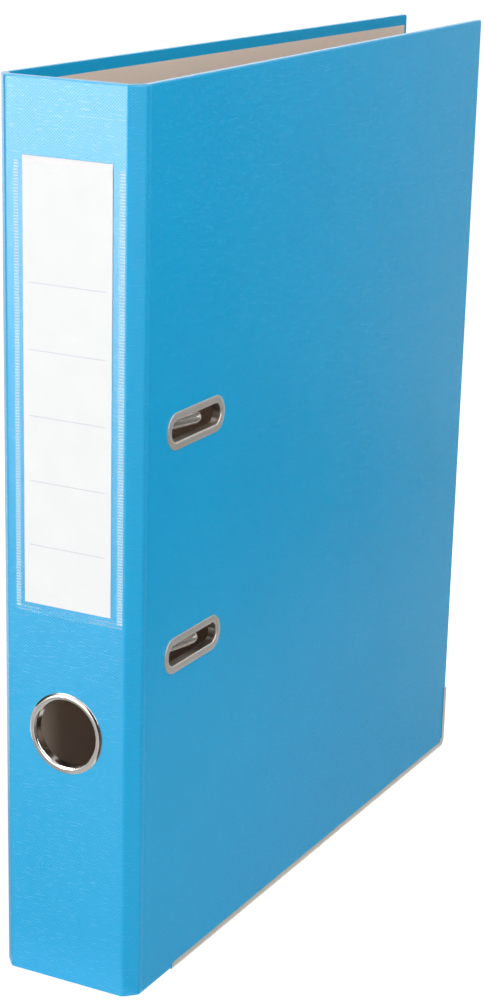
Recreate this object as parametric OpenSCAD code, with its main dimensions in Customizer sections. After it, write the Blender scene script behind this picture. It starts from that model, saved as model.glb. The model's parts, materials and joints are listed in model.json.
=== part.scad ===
// A lever arch file standing upright: spine towards -Y, front cover towards +X, rear cover towards -X.
// Lengths are millimetres, angles are degrees. The floor is z = 0, the origin is the middle of the footprint.

/* [Case] */
// Height of the case
case_h = 318; // [290:1:350]
// Depth from the spine's face to the fore edge
case_d = 285; // [250:1:310]
// Width of the flat spine between its two creases
spine_w = 47; // [46:0.5:60]
// Width of the bevelled hinge strip beside the spine
bevel_w = 6.4; // [6:0.1:8]
// Angle of the hinge strip from the plane of the spine
bevel_angle = 47.5; // [42:0.5:55]
// Angle by which each cover leans in towards the fore edge
cover_lean = 2; // [1:0.25:2.25]
// Space left at each crease between neighbouring panels
crease_gap = 0.06; // [0.04:0.01:0.12]

/* [Sheets] */
// Thickness of the grey board
board_t = 2; // [1.6:0.1:2.4]
// Thickness of the blue covering film
film_t = 0.25; // [0.15:0.05:0.35]
// Thickness of the paper lining
lining_t = 0.25; // [0.15:0.05:0.35]
// Film turned in along the top and bottom edges
turn_in_ends = 4; // [3:0.5:12]
// Film turned in along the fore edge
turn_in_fore = 2; // [1.5:0.5:12]
// Space between the lining and the turned-in film
lining_gap = 0.1; // [0.05:0.05:0.3]

/* [Finger ring] */
// Height of the ring's centre
ring_z = 96; // [70:1:110]
// Radius of the finger hole
ring_r = 12.1; // [10:0.1:13]
// Width of the ring's outer flange
ring_flange = 2.7; // [2:0.1:3.2]
// Width of the ring's backing washer
ring_backing = 2.2; // [1.6:0.1:3]

/* [Eyelet metal] */
// Thickness of the sheet of the ring and the slot eyelets
eyelet_t = 0.5; // [0.4:0.1:0.7]
// Space round an eyelet's tube in its hole
eyelet_gap = 0.05; // [0.03:0.01:0.1]

/* [Label] */
// Height of the label card
label_h = 151.5; // [130:0.5:160]
// Height of the card's lower edge
label_z = 141.5; // [130:0.5:145]
// Distance of the card's middle from the middle of the spine
label_x = 0.8; // [0:0.1:1.2]
// Thickness of the card
label_t = 0.3; // [0.2:0.05:0.4]
// Space in front of and behind the card
label_gap = 0.05; // [0.04:0.01:0.1]
// Space beside the card in the pocket
label_side_gap = 0.6; // [0.3:0.1:1]
// Width of the pocket beyond the card, for its two welds
label_margin = 8.2; // [7:0.1:10]
// Width of the spine left free beside the pocket
pocket_margin = 4.5; // [3.6:0.1:6]
// Distance of the pocket's middle from the middle of the spine
pocket_x = 1.3; // [0:0.1:1.4]
// Thickness of the pocket's film
pocket_film = 0.3; // [0.2:0.05:0.4]
// Height of the welded band below the card
pocket_weld = 3.6; // [3:0.1:5]
// Part of the card that stands out of the pocket's mouth
label_proud = 2; // [1:0.5:6]
// Width of the open middle of the welded band
pocket_notch = 17; // [12:0.5:20]

/* [Cover slots] */
// Distance between the two slots, the standard ring spacing
ring_pitch = 80; // [78:1:84]
// Height of the middle between the two slots
mech_z = 162; // [150:1:168]
// Distance of the slots' middle from the cover's crease
slot_u = 35.6; // [34:0.2:38]
// Length of a slot eyelet over its flange
slot_l = 41.2; // [38:0.2:44]
// Height of a slot eyelet over its flange
slot_h = 13; // [12.6:0.2:15]
// Width of the eyelet's flange
slot_flange = 2.75; // [2.2:0.05:2.9]
// Width of the eyelet's backing ring
slot_backing = 2; // [1.6:0.1:2.4]

/* [Edge guards] */
// Thickness of the guard's sheet
guard_t = 0.4; // [0.3:0.05:0.6]
// Height of the guard's flanges on the cover's faces
guard_flange = 2.2; // [1.6:0.1:3]
// Distance of the guard's end from the cover's crease
guard_start = 24; // [12:1:30]
// Height to which the guard climbs the fore edge
guard_rise = 28; // [15:1:40]
// Radius of the guard's outer corner
guard_r = 4; // [3:0.2:5]

/* [Base plate] */
// Thickness of the mechanism's base plate
plate_t = 1; // [0.8:0.1:1.2]
// Width of the base plate
plate_w = 49; // [48:0.5:50]
// Length of the base plate
plate_l = 128; // [126:1:136]
// Corner radius of the base plate
plate_r = 6; // [4:0.5:6.5]
// Distance of the base plate's near edge from the cover's crease
plate_u = 5; // [4.5:0.1:5.5]
// Radius of a mounting rivet's shank
rivet_r = 2; // [1.6:0.1:2.2]
// Radius of a rivet's head
rivet_head_r = 3.6; // [3:0.1:4]
// Height of a rivet's head
rivet_head_t = 0.8; // [0.6:0.1:1]
// Distance of a rivet from the plate's two edges
rivet_inset = 6; // [5.5:0.1:6.5]
// Space round a rivet in its hole
rivet_gap = 0.05; // [0.03:0.01:0.08]

/* [Posts and arches] */
// Radius of the posts and the arch wire
wire_r = 2; // [1.8:0.05:2.1]
// Distance of the posts from the cover's crease
post_u = 46; // [45.5:0.1:46.4]
// Radius of a post's foot
post_foot_r = 4; // [3.4:0.1:4.4]
// Height of a post's foot
post_foot_t = 1; // [0.8:0.1:1.4]
// Height by which the arch stands into the cover's slot
arch_proud = 1.2; // [0.4:0.1:1.6]
// Radius of the arch's wide bend
arch_wide_r = 20; // [18:0.5:20.5]
// Angle of the arch's wide bend
arch_turn = 80; // [76:1:82]
// Radius of the arch's tight bend above the post
arch_tight_r = 4; // [3.6:0.1:4.2]
// Length of the arch's straight tip
arch_tip = 3.5; // [2.5:0.1:5]
// Space between an arch's tip and its post
tip_gap = 0.3; // [0.25:0.05:0.5]
// Radius of the nib under the tip
nib_r = 1.3; // [1:0.05:1.4]
// Radius of the nib's blunt point
nib_point_r = 0.16; // [0.1:0.02:0.3]
// Height of the nib
nib_h = 0.7; // [0.5:0.05:0.75]
// Radius of the dimple in the post
dimple_r = 1.7; // [1.6:0.05:1.75]
// Depth of the dimple
dimple_h = 0.9; // [0.85:0.05:0.95]

/* [Rocker] */
// Distance of the rocker's axis from the cover's crease
rocker_u = 12; // [11.6:0.1:12.2]
// Height of the rocker's axis above the lining
rocker_h = 6; // [5.8:0.1:6.2]
// Radius of the rocker's shaft
shaft_r = 1.5; // [1.3:0.05:1.6]
// Running clearance of the shaft in its ears
shaft_gap = 0.05; // [0.02:0.01:0.09]
// Width of the bridge
bridge_w = 7; // [6.4:0.1:7.1]
// Height of the bridge
bridge_t = 5; // [4.6:0.1:5.1]
// Length of the bridge beyond each arch
bridge_over = 7; // [5:0.5:7.5]
// Thickness of a bearing ear
ear_t = 1.5; // [1.2:0.1:1.8]
// Space between the bridge and an ear
ear_gap = 0.5; // [0.4:0.1:0.8]
// Length of the shaft beyond each ear
shaft_over = 0.5; // [0.3:0.1:1]
// Metal of an ear round its bore
ear_wall = 2.5; // [2:0.1:3]
// Reach of the rocker's tongue from its axis
tongue_reach = 12.5; // [11:0.1:12.6]
// Thickness of the tongue
tongue_t = 1.5; // [1.2:0.1:1.6]
// Height of the tongue's top above the axis
tongue_top = 2; // [1.8:0.1:2.1]
// Width of the tongue along the bridge
tongue_w = 12.6; // [10:0.2:14]
// Space between the tongue and the lever's bracket
tongue_gap = 0.4; // [0.3:0.05:0.6]

/* [Lever] */
// Height of the lever's pivot from the middle of the mechanism
lever_up = 24; // [18:0.5:25]
// Distance of the roller from the lever's pivot
roller_arm = 4.4; // [4.3:0.05:4.6]
// Angle of the roller below the lever's pivot when closed
roller_dip = 30; // [28:0.5:32]
// Radius of the pressure roller
roller_r = 2.6; // [2.4:0.05:2.65]
// Width of the pressure roller
roller_w = 5.4; // [4.6:0.1:5.6]
// Radius of the roller's pin
roller_pin_r = 1; // [0.8:0.05:1.1]
// Space between the roller and the tongue
roller_gap = 0.15; // [0.1:0.01:0.25]
// Running clearance of the roller and the lever on their pins
pin_gap = 0.05; // [0.02:0.01:0.09]
// Radius of the lever's pin
lever_pin_r = 1.5; // [1.3:0.05:1.6]
// Radius of the head of the lever's pin
lever_pin_head = 2.4; // [2.2:0.1:2.6]
// Height of the head of the lever's pin
lever_pin_head_t = 0.6; // [0.4:0.1:0.7]
// Distance of the bracket's near ear from the rocker's axis
bracket_off = 5; // [4.9:0.05:5.2]
// Thickness of the bracket's sheet
bracket_t = 1.2; // [1:0.05:1.3]
// Half the width of a bracket ear
bracket_half = 2.6; // [2.4:0.1:2.8]
// Width of the lever across its two cheeks
lever_w = 8.4; // [8.2:0.1:8.6]
// Space between a cheek and a bracket ear
lever_gap = 0.4; // [0.35:0.05:0.5]
// Thickness of the lever's sheet
lever_t = 1; // [0.8:0.05:1.1]
// Length of the lever from its pivot to its thumb end
lever_l = 58; // [50:0.5:60]
// Length of the thumb end that bends up
thumb_l = 14; // [12:0.5:16]
// Angle of the thumb end
thumb_angle = 10; // [6:1:12]
// Height of the lever's cheeks
cheek_h = 5; // [4:0.1:5.2]
// Height of the lever's web above its pivot
web_top = 2.2; // [2:0.05:2.3]
// Metal of a cheek round the roller's pin
cheek_wall = 1.2; // [1:0.05:1.3]
// Metal of a cheek round the lever's pin
boss_wall = 1.5; // [1.3:0.05:1.6]
// Length of the roller's pin beyond each cheek
pin_over = 0.1; // [0.05:0.05:0.2]

/* [Return spring] */
// Thickness of the leaf spring
spring_t = 0.5; // [0.3:0.05:0.6]
// Width of the leaf spring
spring_w = 6; // [4:0.5:8]
// Length of the spring's foot on the base plate
spring_foot = 4; // [3:0.2:4.4]
// Distance of the spring's foot beyond the tongue's end
spring_out = 1.5; // [1:0.1:1.6]
// Distance of the spring's contact from the tongue's end
spring_in = 4; // [3:0.1:5]

/* [Compressor] */
// Width of the compressor bar
bar_w = 10; // [9.4:0.1:10.4]
// Thickness of the compressor bar
bar_t = 1.2; // [0.8:0.1:1.6]
// Length of the bar beyond each post
bar_over = 12; // [9:0.5:15]
// Height of the bar above the lining at rest
bar_h = 4; // [3.6:0.1:6]
// Radius of a grip's body in the bar
grip_r = 3.2; // [2.9:0.05:3.5]
// Radius of a grip's flange
grip_flange_r = 4.4; // [4:0.1:4.6]
// Height of a grip's flange
grip_t = 1.5; // [1:0.1:2.5]
// Sliding clearance of a grip on its post
grip_gap = 0.08; // [0.04:0.01:0.1]

/* [Hidden] */
$fn = 64;

// Colours
film_blue = "#2f9bd3";
board_grey = "#8f8a84";
lining_grey = "#aaa29a";
nickel = "#c9ccd0";
steel = "#b4b7bb";
card_white = "#f6f6f4";
clear_film = "#dcecf5";
black_plastic = "#26272a";

// Sheet stack, counted inwards from the outer face
board_in = film_t + board_t;
cover_t = board_in + lining_t;
past = 1;

// Panels of the case
pocket_t = pocket_film + label_t + 2 * label_gap;
pocket_w = spine_w - pocket_margin;
label_w = pocket_w - label_margin;
spine_y = -(case_d - pocket_t) / 2;
strip_dx = bevel_w * cos(bevel_angle);
strip_dy = bevel_w * sin(bevel_angle);
cover_angle = 90 + cover_lean;
cover_l = (case_d - strip_dy) / cos(cover_lean) - guard_t;
fold_spine = bevel_angle / 2;
fold_cover = (cover_angle - bevel_angle) / 2;
floor_z = guard_t;

// Holes and tubes of the eyelets
ring_tube_r = ring_r + eyelet_t;
slot_open_l = slot_l - 2 * slot_flange;
slot_open_h = slot_h - 2 * slot_flange;
slot_tube_l = slot_open_l + 2 * eyelet_t;
slot_tube_h = slot_open_h + 2 * eyelet_t;
slots_z = [mech_z + ring_pitch / 2, mech_z - ring_pitch / 2];

// Clear height from the rear lining to the front lining, at a distance u from the rear cover's crease
crease_span = spine_w + 2 * strip_dx;
function clear_h(u) =
  (crease_span * cos(cover_lean) - u * sin(2 * cover_lean) - cover_t) / cos(2 * cover_lean) - cover_t;

// Arch line in the mechanism's plane: leg, wide bend, straight, tight bend, tip
arch_top = clear_h(post_u - arch_tight_r) + arch_proud - wire_r;
tight_u = post_u - arch_tight_r;
tight_h = arch_top - arch_tight_r;
straight_end_u = tight_u - arch_tight_r * cos(arch_turn);
straight_end_h = tight_h + arch_tight_r * sin(arch_turn);
straight_l = (straight_end_u - rocker_u - arch_wide_r * (1 - cos(arch_turn))) / sin(arch_turn);
leg_end_h = straight_end_h - straight_l * cos(arch_turn) - arch_wide_r * sin(arch_turn);
tip_h = tight_h - arch_tip;
leg_h = rocker_h + bridge_t / 2;
wire_sides = 16;
wide_steps = 10;
tight_steps = 8;
function bend_rings(u, h, r, a0, a1, steps) =
  [for (i = [0:steps]) let (a = a0 + (a1 - a0) * i / steps) [u + r * cos(a), h + r * sin(a), a, wire_r]];
arch_rings =
  concat([[rocker_u, leg_h, 180, wire_r]],
         bend_rings(rocker_u + arch_wide_r, leg_end_h, arch_wide_r, 180, 180 - arch_turn, wide_steps),
         bend_rings(tight_u, tight_h, arch_tight_r, 180 - arch_turn, 0, tight_steps),
         [[post_u, tip_h, 0, wire_r], [post_u, tip_h, 0, nib_r]],
         [[post_u, tip_h - nib_h, 0, nib_point_r]]);

// Rocker and lever
bridge_l = ring_pitch + 2 * bridge_over;
ear_z = bridge_l / 2 + ear_gap;
shaft_l = 2 * (ear_z + ear_t + shaft_over);
lever_z = mech_z + lever_up;
tongue_edge_z = lever_z - bracket_half - tongue_gap;
roller_s = roller_arm * cos(roller_dip);
roller_h = rocker_h + tongue_top + roller_gap + roller_r;
lever_h = roller_h + roller_arm * sin(roller_dip);
bracket_u = rocker_u + bracket_off;
cheek_u = bracket_u + bracket_t + lever_gap;
bracket_end_u = cheek_u + lever_w + lever_gap + bracket_t;
roller_u = cheek_u + (lever_w - roller_w) / 2;
cheek_boss_r = roller_pin_r + cheek_wall;
lever_boss_r = lever_pin_r + boss_wall;

// Frames: x runs along a panel from its crease, y runs inwards from its outer face
module spine_frame() {
  translate([-spine_w / 2, spine_y, 0]) children();
}

module strip_frame() {
  translate([spine_w / 2, spine_y, 0]) rotate([0, 0, bevel_angle]) children();
}

module cover_frame() {
  translate([spine_w / 2 + strip_dx, spine_y + strip_dy, 0]) rotate([0, 0, cover_angle]) children();
}

module rear_side() {
  mirror([1, 0, 0]) children();
}

// The mechanism's frame: x runs from the rear cover's crease, y is the height above the lining
module mech_frame() {
  rear_side() cover_frame() translate([0, cover_t, 0]) children();
}

// A flat outline drawn in x and z, as thick as from depth y0 to depth y1
module plate(y0, y1) {
  translate([0, y1, 0]) rotate([90, 0, 0]) linear_extrude(y1 - y0) children();
}

// A flat outline drawn downwards from the lever's pivot and in height, as wide as from u0 to u1
module across(u0, u1) {
  translate([u0, lever_h, lever_z]) rotate([0, 90, 0]) linear_extrude(u1 - u0) children();
}

// A round bar along the mechanism's height
module upright(u, z, h0, h1, r) {
  translate([u, h0, z]) rotate([-90, 0, 0]) cylinder(h = h1 - h0, r = r);
}

// A round bar across the lever, s below its pivot and dh above it
module crossbar(s, dh, u0, u1, r) {
  translate([u0, lever_h + dh, lever_z - s]) rotate([0, 90, 0]) cylinder(h = u1 - u0, r = r);
}

module oblong(l, h) {
  r = h / 2;
  square([l - h, h], center = true);
  for (side = [-1, 1]) translate([side * (l / 2 - r), 0]) circle(r);
}

// One sheet of a panel, mitred at its creases so that neighbours fold apart freely
module sheet(l, y0, y1, z0, z1, fold_start, fold_end, end_gap) {
  start_cut = tan(fold_start);
  end_cut = tan(fold_end);
  translate([0, 0, z0]) linear_extrude(z1 - z0)
    polygon([[y0 * start_cut + crease_gap, y0], [l - y0 * end_cut - end_gap, y0],
             [l - y1 * end_cut - end_gap, y1], [y1 * start_cut + crease_gap, y1]]);
}

module panel_board(l, fold_start, fold_end, end_gap) {
  sheet(l, film_t, board_in, floor_z + film_t, case_h - film_t, fold_start, fold_end, end_gap);
}

module panel_lining(l, fold_start, fold_end, end_gap) {
  margin = turn_in_ends + lining_gap;
  sheet(l, board_in, cover_t, floor_z + margin, case_h - margin, fold_start, fold_end, end_gap);
}

// Film over the outer face, round the edges and turned in over the board
module panel_film(l, fold_start, fold_end, end_gap, edge, turn_in) {
  difference() {
    sheet(l, 0, cover_t, floor_z, case_h, fold_start, fold_end, end_gap);
    translate([-past, film_t, floor_z + film_t])
      cube([l + past - edge, board_t, case_h - floor_z - 2 * film_t]);
    translate([-past, board_in, floor_z + turn_in_ends])
      cube([l + past - turn_in, lining_t + past, case_h - floor_z - 2 * turn_in_ends]);
  }
}

// Spine
module ring_hole() {
  plate(-past, cover_t + past) translate([spine_w / 2, ring_z]) circle(ring_tube_r + eyelet_gap);
}

module spine_board() {
  color(board_grey) spine_frame() difference() {
    panel_board(spine_w, fold_spine, fold_spine, crease_gap);
    ring_hole();
  }
}

module spine_film() {
  color(film_blue) spine_frame() difference() {
    panel_film(spine_w, fold_spine, fold_spine, crease_gap, -past, -past);
    ring_hole();
  }
}

module spine_lining() {
  color(lining_grey) spine_frame() difference() {
    panel_lining(spine_w, fold_spine, fold_spine, crease_gap);
    ring_hole();
  }
}

module finger_ring() {
  color(nickel) spine_frame() difference() {
    union() {
      plate(-eyelet_t, 0) translate([spine_w / 2, ring_z]) circle(ring_r + ring_flange);
      plate(-eyelet_t, cover_t + 2 * eyelet_t) translate([spine_w / 2, ring_z]) circle(ring_tube_r);
    }
    plate(-past, cover_t + 2 * past) translate([spine_w / 2, ring_z]) circle(ring_r);
  }
}

module finger_ring_backing() {
  color(nickel) spine_frame() plate(cover_t, cover_t + eyelet_t) translate([spine_w / 2, ring_z])
    difference() {
      circle(ring_tube_r + ring_backing);
      circle(ring_tube_r + eyelet_gap);
    }
}

module label_pocket() {
  mouth_z = label_z + label_h - label_proud;
  pocket_mid = spine_w / 2 + pocket_x;
  label_mid = spine_w / 2 + label_x;
  channel_w = label_w + 2 * label_side_gap;
  color(clear_film) spine_frame() difference() {
    translate([pocket_mid - pocket_w / 2, -pocket_t, label_z - pocket_weld])
      cube([pocket_w, pocket_t, mouth_z - label_z + pocket_weld]);
    translate([label_mid - channel_w / 2, pocket_film - pocket_t, label_z])
      cube([channel_w, pocket_t, label_h]);
    translate([label_mid - pocket_notch / 2, pocket_film - pocket_t, label_z - 2 * pocket_weld])
      cube([pocket_notch, pocket_t, 3 * pocket_weld]);
  }
}

module label_card() {
  label_left = spine_w / 2 + label_x - label_w / 2;
  color(card_white) spine_frame() translate([label_left, -label_gap - label_t, label_z])
    cube([label_w, label_t, label_h]);
}

// Hinge strips
module strip_board() {
  color(board_grey) strip_frame() panel_board(bevel_w, fold_spine, fold_cover, crease_gap);
}

module strip_film() {
  color(film_blue) strip_frame() panel_film(bevel_w, fold_spine, fold_cover, crease_gap, -past, -past);
}

module strip_lining() {
  color(lining_grey) strip_frame() panel_lining(bevel_w, fold_spine, fold_cover, crease_gap);
}

module front_strip_board() {
  strip_board();
}

module front_strip_film() {
  strip_film();
}

module front_strip_lining() {
  strip_lining();
}

module rear_strip_board() {
  rear_side() strip_board();
}

module rear_strip_film() {
  rear_side() strip_film();
}

module rear_strip_lining() {
  rear_side() strip_lining();
}

// Covers
module cover_outline() {
  difference() {
    translate([-past, 0]) square([cover_l + past, case_h]);
    translate([cover_l - guard_r, floor_z]) difference() {
      translate([0, -past]) square([guard_r + past, guard_r + past]);
      translate([0, guard_r]) circle(guard_r);
    }
  }
}

module rounded_cover(y0, y1) {
  intersection() {
    children();
    plate(y0, y1) cover_outline();
  }
}

module cover_board() {
  rounded_cover(0, cover_t) panel_board(cover_l, fold_cover, 0, film_t);
}

module cover_film() {
  rounded_cover(0, cover_t) panel_film(cover_l, fold_cover, 0, 0, film_t, turn_in_fore);
}

module cover_lining() {
  panel_lining(cover_l, fold_cover, 0, turn_in_fore + lining_gap);
}

module slot_holes() {
  for (z = slots_z) plate(-past, cover_t + past) translate([slot_u, z])
    oblong(slot_tube_l + 2 * eyelet_gap, slot_tube_h + 2 * eyelet_gap);
}

module front_board() {
  color(board_grey) cover_frame() difference() {
    cover_board();
    slot_holes();
  }
}

module front_film() {
  color(film_blue) cover_frame() difference() {
    cover_film();
    slot_holes();
  }
}

module front_lining() {
  color(lining_grey) cover_frame() difference() {
    cover_lining();
    slot_holes();
  }
}

module slot_eyelet(z) {
  color(nickel) cover_frame() translate([slot_u, 0, z]) difference() {
    union() {
      plate(-eyelet_t, 0) oblong(slot_l, slot_h);
      plate(-eyelet_t, cover_t + eyelet_t) oblong(slot_tube_l, slot_tube_h);
    }
    plate(-past, cover_t + past) oblong(slot_open_l, slot_open_h);
  }
}

module slot_backing_ring(z) {
  color(nickel) cover_frame() translate([slot_u, 0, z]) plate(cover_t, cover_t + eyelet_t) difference() {
    oblong(slot_tube_l + 2 * slot_backing, slot_tube_h + 2 * slot_backing);
    oblong(slot_tube_l + 2 * eyelet_gap, slot_tube_h + 2 * eyelet_gap);
  }
}

module slot_eyelet_upper() {
  slot_eyelet(slots_z[0]);
}

module slot_eyelet_lower() {
  slot_eyelet(slots_z[1]);
}

module slot_backing_upper() {
  slot_backing_ring(slots_z[0]);
}

module slot_backing_lower() {
  slot_backing_ring(slots_z[1]);
}

// A folded channel under the bottom edge that turns the corner and climbs the fore edge
module edge_guard() {
  web_end = cover_l + guard_t;
  color(nickel) cover_frame() difference() {
    plate(-guard_t, cover_t + guard_t) {
      translate([guard_start, 0]) square([web_end - guard_start - guard_r, floor_z + guard_flange]);
      translate([cover_l - guard_flange, guard_r]) square([guard_flange + guard_t, guard_rise - guard_r]);
      intersection() {
        translate([web_end - guard_r, guard_r]) circle(guard_r);
        translate([web_end - guard_r, 0]) square(guard_r);
      }
    }
    translate([guard_start - past, 0, floor_z])
      cube([cover_l - guard_start + past, cover_t, guard_rise + past]);
  }
}

module front_edge_guard() {
  edge_guard();
}

module rear_edge_guard() {
  rear_side() edge_guard();
}

// Places of the rivets in the mechanism's plane
rivets_u = [plate_u + rivet_inset, plate_u + plate_w - rivet_inset];
rivets_z = [mech_z - plate_l / 2 + rivet_inset, mech_z + plate_l / 2 - rivet_inset];

module at_rivets() {
  for (u = rivets_u) for (z = rivets_z) translate([u, 0, z]) rotate([-90, 0, 0]) children();
}

module rivet_holes() {
  at_rivets() translate([0, 0, -past]) cylinder(h = cover_t + 2 * past, r = rivet_r + rivet_gap);
}

module rear_board() {
  color(board_grey) rear_side() cover_frame() difference() {
    cover_board();
    rivet_holes();
  }
}

module rear_film() {
  color(film_blue) rear_side() cover_frame() difference() {
    cover_film();
    rivet_holes();
  }
}

module rear_lining() {
  color(lining_grey) rear_side() cover_frame() difference() {
    cover_lining();
    rivet_holes();
  }
}

// Mechanism, fixed pieces
module base_outline() {
  inner_w = plate_w - 2 * plate_r;
  inner_l = plate_l - 2 * plate_r;
  translate([plate_u + plate_w / 2, mech_z]) {
    square([plate_w, inner_l], center = true);
    square([inner_w, plate_l], center = true);
    for (x = [-1, 1]) for (z = [-1, 1]) translate([x * inner_w / 2, z * inner_l / 2]) circle(plate_r);
  }
}

module bearing_ear() {
  ear_r = shaft_r + ear_wall;
  linear_extrude(ear_t) difference() {
    union() {
      translate([rocker_u, rocker_h]) circle(ear_r);
      translate([rocker_u - ear_r, 0]) square([2 * ear_r, rocker_h]);
    }
    translate([rocker_u, rocker_h]) circle(shaft_r + shaft_gap);
  }
}

module base_plate() {
  color(steel) mech_frame() {
    difference() {
      plate(0, plate_t) base_outline();
      rivet_holes();
    }
    translate([0, 0, mech_z + ear_z]) bearing_ear();
    translate([0, 0, mech_z - ear_z - ear_t]) bearing_ear();
  }
}

module mechanism_rivets() {
  color(nickel) mech_frame() at_rivets() {
    translate([0, 0, -cover_t - rivet_head_t]) cylinder(h = rivet_head_t, r = rivet_head_r);
    translate([0, 0, -cover_t - rivet_head_t])
      cylinder(h = cover_t + plate_t + 2 * rivet_head_t, r = rivet_r);
    translate([0, 0, plate_t]) cylinder(h = rivet_head_t, r = rivet_head_r);
  }
}

module post(z) {
  post_top = tip_h - tip_gap;
  color(nickel) mech_frame() difference() {
    union() {
      upright(post_u, z, plate_t, plate_t + post_foot_t, post_foot_r);
      upright(post_u, z, plate_t, post_top, wire_r);
    }
    translate([post_u, post_top - dimple_h, z]) rotate([-90, 0, 0])
      cylinder(h = dimple_h, r1 = 0, r2 = dimple_r);
  }
}

module post_upper() {
  post(slots_z[0]);
}

module post_lower() {
  post(slots_z[1]);
}

module lever_bracket() {
  seat = plate_t - lever_h;
  color(steel) mech_frame() {
    for (u = [bracket_u, bracket_end_u - bracket_t]) across(u, u + bracket_t) difference() {
      union() {
        circle(bracket_half);
        translate([-bracket_half, seat]) square([2 * bracket_half, -seat]);
      }
      circle(lever_pin_r);
    }
    across(bracket_u, bracket_end_u) translate([-bracket_half, seat]) square([2 * bracket_half, bracket_t]);
  }
}

module lever_pin() {
  color(nickel) mech_frame() {
    crossbar(0, 0, bracket_u - lever_pin_head_t, bracket_end_u + lever_pin_head_t, lever_pin_r);
    crossbar(0, 0, bracket_u - lever_pin_head_t, bracket_u, lever_pin_head);
    crossbar(0, 0, bracket_end_u, bracket_end_u + lever_pin_head_t, lever_pin_head);
  }
}

// A bent leaf from the base plate to the underside of the rocker's tongue
module return_spring() {
  tongue_end = rocker_u + tongue_reach;
  leaf_top = rocker_h + tongue_top - tongue_t;
  foot_u = tongue_end + spring_out;
  contact_u = tongue_end - spring_in;
  leaf_z = tongue_edge_z - (tongue_w + spring_w) / 2;
  color(steel) mech_frame() translate([0, 0, leaf_z]) linear_extrude(spring_w)
    polygon([[foot_u + spring_foot, plate_t], [foot_u + spring_foot, plate_t + spring_t],
             [foot_u, plate_t + spring_t], [contact_u, leaf_top], [contact_u - spring_t, leaf_top],
             [contact_u - spring_t, leaf_top - spring_t], [foot_u - spring_t, plate_t]]);
}

// Mechanism, moving pieces
module rocker_bridge() {
  color(steel) mech_frame() difference() {
    union() {
      translate([rocker_u - bridge_w / 2, rocker_h - bridge_t / 2, mech_z - bridge_l / 2])
        cube([bridge_w, bridge_t, bridge_l]);
      translate([rocker_u, rocker_h + tongue_top - tongue_t, tongue_edge_z - tongue_w])
        cube([tongue_reach, tongue_t, tongue_w]);
    }
    translate([rocker_u, rocker_h, mech_z - bridge_l]) cylinder(h = 2 * bridge_l, r = shaft_r);
  }
}

module rocker_shaft() {
  color(nickel) mech_frame() translate([rocker_u, rocker_h, mech_z - shaft_l / 2])
    cylinder(h = shaft_l, r = shaft_r);
}

// A bent wire, drawn through its rings: u, h, angle of the ring's in-plane axis, radius
module wire(rings) {
  last = len(rings) - 1;
  points = [for (ring = rings) for (i = [0:wire_sides - 1]) let (t = 360 * i / wire_sides)
            [ring[0] + ring[3] * cos(t) * cos(ring[2]), ring[1] + ring[3] * cos(t) * sin(ring[2]),
             ring[3] * sin(t)]];
  walls = [for (k = [0:last - 1]) for (i = [0:wire_sides - 1])
           let (j = (i + 1) % wire_sides, a = k * wire_sides)
           [a + i, a + j, a + wire_sides + j, a + wire_sides + i]];
  start_cap = [for (i = [wire_sides - 1:-1:0]) i];
  end_cap = [for (i = [0:wire_sides - 1]) last * wire_sides + i];
  polyhedron(points, concat([start_cap], walls, [end_cap]));
}

module arch(z) {
  color(nickel) mech_frame() translate([0, 0, z]) wire(arch_rings);
}

module arch_upper() {
  arch(slots_z[0]);
}

module arch_lower() {
  arch(slots_z[1]);
}

// Side view of one cheek, from the pivot along the lever
module cheek() {
  taper_s = lever_l - thumb_l - lever_t;
  roller_drop = roller_arm * sin(roller_dip);
  difference() {
    union() {
      circle(lever_boss_r);
      translate([roller_s, -roller_drop]) circle(cheek_boss_r);
      polygon([[0, web_top], [0, -lever_pin_r - boss_wall / 2],
               [roller_s, -roller_drop - roller_pin_r - cheek_wall / 2],
               [roller_s + 3 * cheek_boss_r, web_top - cheek_h], [taper_s, web_top - cheek_h / 2],
               [taper_s, web_top]]);
    }
    circle(lever_pin_r + pin_gap);
    translate([roller_s, -roller_drop]) circle(roller_pin_r);
  }
}

// Side view of the lever's web and of its thumb end, which ends in a bead
module lever_web() {
  start_s = roller_s + roller_r;
  bend_s = lever_l - thumb_l;
  under = web_top - lever_t;
  end_s = bend_s + thumb_l * cos(thumb_angle);
  end_h = under + thumb_l * sin(thumb_angle);
  polygon([[start_s, under], [bend_s, under], [end_s, end_h],
           [end_s - lever_t * sin(thumb_angle), end_h + lever_t * cos(thumb_angle)],
           [bend_s - lever_t * tan(thumb_angle / 2), web_top], [start_s, web_top]]);
  translate([end_s - lever_t / 2 * sin(thumb_angle), end_h + lever_t / 2 * cos(thumb_angle)]) circle(lever_t);
}

module lever_arm() {
  color(nickel) mech_frame() {
    across(cheek_u, cheek_u + lever_t) cheek();
    across(cheek_u + lever_w - lever_t, cheek_u + lever_w) cheek();
    across(cheek_u, cheek_u + lever_w) lever_web();
  }
}

module roller_pin() {
  color(nickel) mech_frame()
    crossbar(roller_s, roller_h - lever_h, cheek_u - pin_over, cheek_u + lever_w + pin_over,
             roller_pin_r);
}

module pressure_roller() {
  color(nickel) mech_frame() difference() {
    crossbar(roller_s, roller_h - lever_h, roller_u, roller_u + roller_w, roller_r);
    crossbar(roller_s, roller_h - lever_h, roller_u - past, roller_u + roller_w + past,
             roller_pin_r + pin_gap);
  }
}

module compressor_bar() {
  bar_l = ring_pitch + 2 * bar_over;
  color(steel) mech_frame() plate(bar_h, bar_h + bar_t) difference() {
    translate([post_u, mech_z]) rotate(90) oblong(bar_l, bar_w);
    for (z = slots_z) translate([post_u, z]) circle(grip_r);
  }
}

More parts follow.
